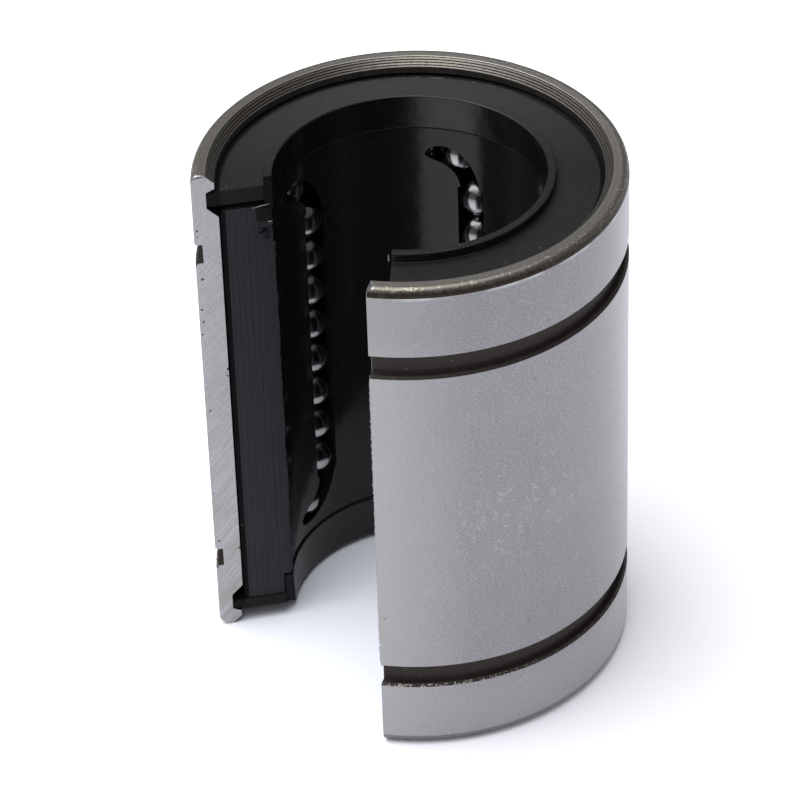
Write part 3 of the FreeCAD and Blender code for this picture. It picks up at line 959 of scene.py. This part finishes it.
turned, tree = new_material("turned_ends", metallic=1.0)
at = object_mm(tree)
lines = effect(fine_lines, surface_mm(tree), Along=0.05, Across=9.0)
patch = effect(blotches, at, Scale=2.2, Contrast=1.6)
grain = effect(blotches, at, Scale=7.0, Contrast=1.6)
sparkle = effect(specks, at, Scale=5.0, Size=0.7, Share=0.35)
height = calc("ABSOLUTE", split(at)[2])
right_side = measure("DOT_PRODUCT", at, RIGHT_WAY)
far_side = measure("DOT_PRODUCT", at, FAR_WAY)
tone = blend(patch, (0.6, 0.57, 0.51), (0.86, 0.83, 0.765))
tone = blend(ramp(grain, 0.2, 0.5, 0.5, 0.0), tone, (0.3, 0.28, 0.245))
tone = blend(calc("MULTIPLY", sparkle, 0.45), tone, (0.92, 0.9, 0.82))
# Painted shade: darker on the near stretch than on the far one, and darker on the left stretch.
tone = blend(ramp(far_side, *NEAR_SHADE_RANGE, 0.63, 0.4), tone, (0.2, 0.187, 0.165))
tone = blend(ramp(right_side, *LEFT_SHADE_RANGE, 0.0, 0.4), tone, (0.17, 0.155, 0.14))
# Painted shade on the mouth's ridges, except where they stay lit at the far middle.
from_lit = calc("ABSOLUTE", calc("SUBTRACT", right_side, LIT_PLACE))
mouth_shade = calc("MULTIPLY", ramp(height, *MOUTH_TOP), ramp(from_lit, *LIT_REACH, 0.35, 0.75))
tone = blend(mouth_shade, tone, (0.07, 0.06, 0.052))
dress(turned, base_color=tone, roughness=ramp(lines, 0.3, 0.7, 0.25, 0.36),
      relief=calc("ADD", lines, grain), depth=0.009)

# %% [markdown]
# ## Brown corners
# The rounded corners were not ground, so they keep a dark brown skin that is worn bare towards the end face,
# where it sparkles. A ramp over the height gives the wear, and blotches make its edge uneven.

# %% Brown corners
WORN_TOP = (END_Z - 0.42, END_Z - 0.08)

browned, tree = new_material("brown_corners", metallic=1.0)
at = object_mm(tree)
lines = effect(fine_lines, surface_mm(tree), Along=0.08, Across=7.0)
patch = effect(blotches, at, Scale=2.6, Contrast=1.8)
grain = effect(blotches, at, Scale=8.0, Contrast=2.0)
sparkle = effect(specks, at, Scale=6.0, Size=0.7, Share=0.4)
worn = ramp(calc("ABSOLUTE", split(at)[2]), *WORN_TOP)
bare = calc("ADD", worn, ramp(patch, 0.0, 1.0, -0.2, 0.2))
tone = blend(bare, (0.042, 0.033, 0.026), (0.26, 0.242, 0.21))
lit = calc("MULTIPLY", sparkle, ramp(bare, 0.3, 0.9, 0.0, 0.6))
tone = blend(lit, tone, (0.62, 0.59, 0.52))
dress(browned, base_color=tone, roughness=ramp(lines, 0.3, 0.7, 0.32, 0.46),
      relief=calc("ADD", lines, grain), depth=0.012)

# %% [markdown]
# ## Oxide in the ring grooves
# The grinding wheel does not reach into the grooves, so they keep the black oxide. On the near side the lower
# groove's bevel has painted glints: bright specks where it catches the light, strongest on the near side and
# fading further back. Those could be tiny chips of mesh, but at this size a colour on the bevel reads the
# same.

# %% Oxide in the ring grooves
LOWER_EDGE_Z = -GROOVE_MID_Z - GROOVE_WIDTH / 2
GLINT_BEVEL = (LOWER_EDGE_Z - 0.02, LOWER_EDGE_Z - 0.05)
GLINT_NEAR = (-9.0, -2.0)

oxide, tree = new_material("groove_oxide", metallic=0.3, specular_ior_level=0.35)
at = object_mm(tree)
place = split(at)
patch = effect(blotches, at, Scale=2.5, Contrast=1.8)
glint = effect(specks, at, Scale=5.0, Size=0.25, Share=0.04)
sparkle = effect(specks, at, Scale=9.0, Size=0.8, Share=0.6)
tone = blend(patch, (0.03, 0.023, 0.021), (0.062, 0.049, 0.044))
tone = blend(glint, tone, (0.3, 0.28, 0.26))
# Painted glints on the lower groove's bevel, strongest on the near side.
bevel_glints = calc("MULTIPLY", ramp(place[2], *GLINT_BEVEL), sparkle)
bevel_glints = calc("MULTIPLY", bevel_glints, ramp(place[1], *GLINT_NEAR, 1.0, 0.15))
tone = blend(bevel_glints, tone, (0.62, 0.6, 0.54))
dress(oxide, base_color=tone, roughness=ramp(patch, 0.2, 0.8, 0.45, 0.65), relief=patch, depth=0.03)

# %% [markdown]
# ## Inside and cut faces of the sleeve
# The inside is dull and a little brown. The faces of the opening were cut and then ground by hand, with
# slanting marks, brown stains towards the lower end, and open pits. The marks follow flat coordinates on the
# face, because Object coordinates alone would stretch them where the face is tilted.

# %% Inside and cut faces of the sleeve
MARK_ANGLE = math.radians(48.0)
STAIN_HEIGHTS = (6.0, -14.0)

dull, tree = new_material("dull_inside", metallic=1.0)
patch = effect(blotches, object_mm(tree), Scale=1.5, Contrast=1.5)
tone = blend(patch, (0.12, 0.11, 0.10), (0.2, 0.19, 0.18))
dress(dull, base_color=tone, roughness=ramp(patch, 0.2, 0.8, 0.35, 0.5), relief=patch, depth=0.02)

sawn, tree = new_material("cut_steel", metallic=1.0)
at = object_mm(tree)
slant = on_face(at, MARK_ANGLE)
lines = effect(fine_lines, slant, Along=0.3, Across=5.0)
stains = effect(fine_lines, slant, Along=0.12, Across=0.9)
grain = effect(blotches, at, Scale=6.0, Contrast=2.2)
patch = effect(blotches, at, Scale=0.9, Contrast=1.5)
pits = effect(specks, at, Scale=1.5, Size=0.2, Share=0.4)
tone = blend(patch, (0.38, 0.38, 0.39), (0.46, 0.46, 0.47))
tone = blend(ramp(lines, 0.4, 0.62, 0.0, 0.75), tone, (0.58, 0.58, 0.585))
lower_share = ramp(split(at)[2], *STAIN_HEIGHTS, 0.1, 0.75)
stained = calc("MULTIPLY", ramp(stains, 0.45, 0.65), lower_share)
tone = blend(stained, tone, (0.39, 0.36, 0.32))
tone = blend(ramp(grain, 0.0, 0.35, 0.6, 0.0), tone, (0.2, 0.2, 0.205))
tone = blend(pits, tone, (0.08, 0.075, 0.07))
dress(sawn, base_color=tone, roughness=ramp(lines, 0.3, 0.7, 0.3, 0.48),
      relief=calc("ADD", lines, grain), depth=0.012)

for material in (ground, oxide, browned, turned, dull, sawn):
    sleeve.data.materials.append(material)
steel_burrs.data.materials.append(sawn)
print("steel finishes", [material.name for material in sleeve.data.materials])

# %% [markdown]
# ## Rubber
# The seals are matte black rubber with a little dust, and the plate is painted greyer on its far side, as
# light falling there. The wall at the shaft is smoother, the plate's edge has a light line along part of it,
# partly flash and partly a painted highlight, and the cut ends are torn, with painted shade on the upper
# collar's end and on the bead's end.
# One material with masks could do it all. Four zones of the profile with a short material each are easier to
# read and to change.

# %% Plate and wall of the seals
LIT_FAR = (1.0, 13.0)

rubber, tree = new_material("seal_rubber", specular_ior_level=0.4)
at = object_mm(tree)
patch = effect(blotches, at, Scale=0.7, Contrast=1.6)
dust = effect(specks, at, Scale=2.6, Size=0.16, Share=0.2)
fine = effect(blotches, at, Scale=14.0, Contrast=1.0)
far_side = ramp(measure("DOT_PRODUCT", at, FAR_WAY), *LIT_FAR)
tone = blend(patch, (0.003, 0.003, 0.0032), (0.007, 0.007, 0.0075))
# Painted light: the plate is greyer on its far side.
tone = blend(far_side, tone, (0.036, 0.036, 0.037))
tone = blend(dust, tone, (0.12, 0.12, 0.12))
dress(rubber, base_color=tone, roughness=ramp(patch, 0.2, 0.8, 0.42, 0.58), relief=fine, depth=0.02)

wiper, tree = new_material("seal_wall", specular_ior_level=0.5)
at = object_mm(tree)
patch = effect(blotches, at, Scale=0.6, Contrast=1.6)
dust = effect(specks, at, Scale=1.8, Size=0.12, Share=0.15)
tone = blend(dust, (0.006, 0.006, 0.0062), (0.1, 0.1, 0.1))
dress(wiper, base_color=tone, roughness=ramp(patch, 0.2, 0.8, 0.2, 0.3), relief=patch, depth=0.02)

# %% Flash line with painted highlight, and cut ends of the seals with painted shade
HIGHLIGHT_FAR = (4.0, 11.0)
HIGHLIGHT_RIGHT = (4.0, 9.0)
COLLAR_STEP = (COLLAR_R, COLLAR_R + 0.1)
BEAD_SHADE_STEP = (PLATE_EDGE_R - 0.1, PLATE_EDGE_R + 0.05)

flash_and_highlight, tree = new_material("seal_edge", roughness=0.5)
at = object_mm(tree)
broken = effect(blotches, at, Scale=1.6, Contrast=3.0)
# The light line is partly flash and partly painted highlight: it shows only on the far side and fades out to
# the right, where the edge is in shade.
lit_line = calc("MULTIPLY", ramp(broken, 0.35, 0.75), ramp(split(at)[1], *HIGHLIGHT_FAR))
right_side = measure("DOT_PRODUCT", at, RIGHT_WAY)
lit_line = calc("MULTIPLY", lit_line, ramp(right_side, *HIGHLIGHT_RIGHT, 1.0, 0.0))
dress(flash_and_highlight, base_color=blend(lit_line, (0.006, 0.006, 0.006), (0.24, 0.24, 0.23)),
      relief=broken, depth=0.02)

cut_rubber, tree = new_material("cut_rubber", specular_ior_level=0.2)
at = object_mm(tree)
place = split(on_face(at, 0.0))
fine = effect(blotches, at, Scale=6.0, Contrast=1.8)
# Painted shade: the upper seal's collar end is nearly black, the lower one keeps the cage's cut tone.
upper_in_shade = ramp(place[1], -1.0, 1.0)
collar = blend(upper_in_shade, (0.011, 0.011, 0.0145), (0.002, 0.002, 0.0022))
plate = blend(fine, (0.012, 0.0105, 0.0095), (0.017, 0.0145, 0.013))
tone = blend(ramp(place[0], *COLLAR_STEP), collar, plate)
# Painted shade: the bead's end, beyond the plate's edge, is black.
tone = blend(ramp(place[0], *BEAD_SHADE_STEP), tone, (0.002, 0.002, 0.002))
dress(cut_rubber, base_color=tone, roughness=ramp(fine, 0.2, 0.8, 0.5, 0.75), relief=fine, depth=0.05)

for seal in seals:
    for material in (rubber, flash_and_highlight, wiper, cut_rubber):
        seal.data.materials.append(material)

# %% [markdown]
# ## Moulded plastic
# The cage is black plastic. It left the mould glossy in the bore and a little duller in the tracks. A plain
# black would look like a hole in the picture, so the gloss changes in soft patches and some dust lies on it.

# %% Moulded plastic
glossy, tree = new_material("cage_bore", specular_ior_level=0.34)
at = object_mm(tree)
patch = effect(blotches, at, Scale=0.5, Contrast=1.6)
dust = effect(specks, at, Scale=2.2, Size=0.12, Share=0.15)
tone = blend(dust, (0.012, 0.012, 0.0138), (0.1, 0.1, 0.1))
dress(glossy, base_color=tone, roughness=ramp(patch, 0.2, 0.8, 0.12, 0.2), relief=patch, depth=0.02)

moulded, tree = new_material("cage_body", specular_ior_level=0.35)
patch = effect(blotches, object_mm(tree), Scale=1.5, Contrast=1.5)
tone = blend(patch, (0.035, 0.035, 0.037), (0.05, 0.05, 0.053))
dress(moulded, base_color=tone, roughness=ramp(patch, 0.2, 0.8, 0.28, 0.42), relief=patch, depth=0.02)

# %% [markdown]
# ## Cut plastic
# The saw left the cage's cut faces charcoal, with upright scores one blade pass apart and a torn place at the
# upper corner, with pale shreds and painted glints in it. Painted shade darkens a recess at the top of the
# inner edge, under the seal's collar, and a band along the outer edge, where the gap to the steel is. The
# smeared skin has a soft sheen, which the scores, the torn place, the recess and the outer edge lack.
# A clear coat gives that sheen, because its weight may change over the surface. The scores are the fraction
# of the distance from the axis over the pass, and noise makes them wander.

# %% Marks in the cut plastic
SCORE_PITCH = 0.46
SCORE_HALF_WIDTH = 0.07
SCORE_WANDER = 0.9
TORN_PLACE = (-7.0, -8.18, 15.6)
TORN_REACH = (0.8, 1.15)
STEP_HEIGHT = (16.35, 16.45)
STEP_RADIUS = (11.3, 11.4)
CAGE_OUTER_R = 13.95
GAP_SHADE_RADIUS = (CAGE_OUTER_R - 0.42, CAGE_OUTER_R - 0.32)

cut_plastic, tree = new_material("cut_plastic", specular_ior_level=0.08, coat_roughness=0.47)
at = object_mm(tree)
face = on_face(at, 0.0)
place = split(face)
wander = effect(blotches, stretch(face, (1.0, 0.06, 1.0)), Scale=1.1, Contrast=1.0)
passes = calc("DIVIDE", place[0], SCORE_PITCH)
passes = calc("ADD", passes, calc("MULTIPLY", wander, SCORE_WANDER))
across = calc("ABSOLUTE", calc("SUBTRACT", calc("FRACT", passes), 0.5))
score = ramp(across, 0.0, SCORE_HALF_WIDTH, 1.0, 0.0)
score = calc("MULTIPLY", score, ramp(wander, 0.35, 0.6, 0.9, 0.2))
ragged = effect(blotches, at, Scale=2.2, Contrast=2.6)
torn_way = calc("ADD", measure("DISTANCE", at, TORN_PLACE), ragged)
torn = ramp(torn_way, *TORN_REACH, 0.85, 0.0)
# Painted shade: a recess under the collar and a band along the outer edge, at the gap to the steel.
above_step = ramp(place[1], *STEP_HEIGHT)
step = calc("MULTIPLY", above_step, ramp(place[0], *STEP_RADIUS, 0.75, 0.0))
painted_hollow_shade = calc("MAXIMUM", step, ramp(place[0], *GAP_SHADE_RADIUS))
marks_and_shade = calc("MAXIMUM", calc("MAXIMUM", score, torn), painted_hollow_shade)
print(cut_plastic.name, "marks so far", len(tree.nodes), "nodes")

# %% Cut plastic and its burrs
grain = effect(blotches, at, Scale=9.0, Contrast=1.6)
dust = effect(specks, at, Scale=1.2, Size=0.06, Share=0.12)
# Pale shreds and painted glints in the torn place.
shreds_and_glints = calc("MULTIPLY", torn, effect(specks, at, Scale=6.0, Size=0.45, Share=0.35))
tone = blend(grain, (0.0042, 0.004, 0.008), (0.0098, 0.0092, 0.0158))
tone = blend(marks_and_shade, tone, (0.0015, 0.0015, 0.002))
tone = blend(calc("MAXIMUM", shreds_and_glints, dust), tone, (0.3, 0.3, 0.31))
rise = calc("MULTIPLY", grain, ramp(torn, 0.0, 1.0, 0.25, 4.0))
sheen = ramp(marks_and_shade, 0.0, 1.0, 0.64, 0.0)
dress(cut_plastic, base_color=tone, roughness=ramp(grain, 0.2, 0.8, 0.4, 0.55), coat_weight=sheen,
      relief=calc("SUBTRACT", rise, score), depth=0.03)

# Painted glints: the white of the curls stands in for light caught on their edges.
glint_paint, tree = new_material("burr_glint_paint", roughness=0.35)
broken = effect(blotches, object_mm(tree), Scale=5.0, Contrast=2.5)
dress(glint_paint, base_color=blend(broken, (0.05, 0.05, 0.055), (0.75, 0.77, 0.8)),
      relief=broken, depth=0.02)

for material in (glossy, moulded, cut_plastic):
    cage.data.materials.append(material)
edge_burrs.data.materials.append(cut_plastic)
glint_burrs.data.materials.append(glint_paint)

# %% [markdown]
# ## Ball finish
# The balls are lapped bright and carry a film of oil, which dulls them in soft patches. Their upper side is
# painted dark, as shade under the slot's edge. A perfect mirror would show every edge of the cage in each
# ball.
# The film's colour, the painted shade and a little roughness calm that, and the upward part of the surface
# normal places the painted shade.

# %% Polished balls
UPPER_SHADE = (-0.25, 0.5)

polished, tree = new_material("polished_ball", metallic=1.0)
film = effect(blotches, object_mm(tree), Scale=1.2, Contrast=1.6)
upward = split(add_node(tree, "NewGeometry").outputs["Normal"])[2]
tone = blend(film, (0.5, 0.49, 0.48), (0.64, 0.64, 0.65))
# Painted shade: the balls are darker on their upper side.
tone = blend(ramp(upward, *UPPER_SHADE, 0.0, 0.75), tone, (0.06, 0.057, 0.055))
dress(polished, base_color=tone, roughness=ramp(film, 0.2, 0.8, 0.15, 0.23))
for piece in balls:
    piece.data.materials.append(polished)

# %% [markdown]
# ## Floor
# The bearing stands on a white sheet, and in the picture the sheet is bright enough to be pure white, with a
# soft shadow that is bluer inside the opening. More light would burn out the steel. So a second diffuse
# shader lifts the sheet for camera rays alone, which keeps the shadow, and steel that mirrors the sheet sees
# it lifted less, and nearer to plain white away from the bearing.

# %% Floor
FLOOR_HALF = 1500.0
FLOOR_GAP = 0.02
OPEN_SHEET = (13.0, 19.0)
MIRRORED_SHEET = (14.0, 18.0)

corners = np.array([[-1, -1, 0], [1, -1, 0], [1, 1, 0], [-1, 1, 0]]) * FLOOR_HALF
corners[:, 2] = -END_Z - FLOOR_GAP
floor_mesh = bpy.data.meshes.new("floor")
floor_mesh.from_pydata((corners * MM).tolist(), [], [[0, 1, 2, 3]])
floor = bpy.data.objects.new("floor", floor_mesh)
bpy.context.scene.collection.objects.link(floor)

paper, tree = new_material("white_sheet", roughness=0.9, specular_ior_level=0.0)
path = add_node(tree, "LightPath").outputs
camera_ray, glossy_ray = path["Is Camera Ray"], path["Is Glossy Ray"]
from_middle = measure("LENGTH", stretch(object_mm(tree), (1.0, 1.0, 0.0)))
in_open = calc("MULTIPLY", ramp(from_middle, *OPEN_SHEET), camera_ray)
tone = blend(calc("MAXIMUM", camera_ray, glossy_ray), (0.9, 0.9, 0.9), (0.92, 0.945, 1.0))
tone = blend(in_open, tone, (0.955, 0.945, 0.96))
lift = blend(glossy_ray, (0.0, 0.0, 0.0), (0.21, 0.195, 0.24))
lift = blend(camera_ray, lift, (0.58, 0.61, 0.70))
lift = blend(in_open, lift, (0.61, 0.61, 0.645))
dress(paper, base_color=tone)

# %% Brightness of the floor
sheet = tree.nodes["Principled BSDF"].outputs[0]
extra = add_node(tree, "BsdfDiffuse", {"Color": lift}).outputs[0]
lifted = add_node(tree, "AddShader", {0: sheet, 1: extra}).outputs[0]
white = add_node(tree, "Emission", {"Strength": 1.0}).outputs[0]
outside = calc("MULTIPLY", ramp(from_middle, *MIRRORED_SHEET, 0.0, 0.3), glossy_ray)
mixed = add_node(tree, "MixShader", {0: outside, 1: lifted, 2: white}).outputs[0]
tree.links.new(mixed, tree.nodes["Material Output"].inputs["Surface"])
floor.data.materials.append(paper)
print("floor at", round(corners[0, 2], 2), "mm")

# %% [markdown]
# ## Lights
# The picture has soft daylight from above and a little from the front, with no hard shadow. Two large square
# panels give that, and a grey world fills the rest. The world is white to the camera, as the sheet is.

# %% Lights
WORLD_LEVEL = 0.25
WORLD_BLUE = 1.03

world = bpy.data.worlds.new("studio")
bpy.context.scene.world = world
world.use_nodes = True
tree = world.node_tree
camera_ray = add_node(tree, "LightPath").outputs["Is Camera Ray"]
fill = (WORLD_LEVEL, WORLD_LEVEL, WORLD_LEVEL * WORLD_BLUE)
tone = blend(camera_ray, fill, (1.0, 1.0, 1.0))
tree.links.new(tone, tree.nodes["Background"].inputs["Color"])


def panel(name, place, size, power):
    """Square soft light that faces the bearing: its back axis points from the origin to its place."""
    light = bpy.data.lights.new(name, "AREA")
    light.size = size * MM
    light.energy = power
    lamp = bpy.data.objects.new(name, light)
    way = np.array(place, float)
    z = way / np.linalg.norm(way)
    x = np.cross([0.0, 0.0, 1.0], z)
    x /= np.linalg.norm(x)
    lamp.matrix_world = standing((x, np.cross(z, x), z), way)
    bpy.context.scene.collection.objects.link(lamp)
    return lamp


lamps = [
    panel("key_panel", (-150.0, -100.0, 520.0), 700.0, 2.4),
    panel("front_panel", (0.0, -200.0, 540.0), 600.0, 1.1),
]
print("lights", [lamp.name for lamp in lamps])

# %% [markdown]
# ## Finish
# The picture is shown with the Standard view transform.

# %% View transform
bpy.context.scene.view_settings.view_transform = "Standard"
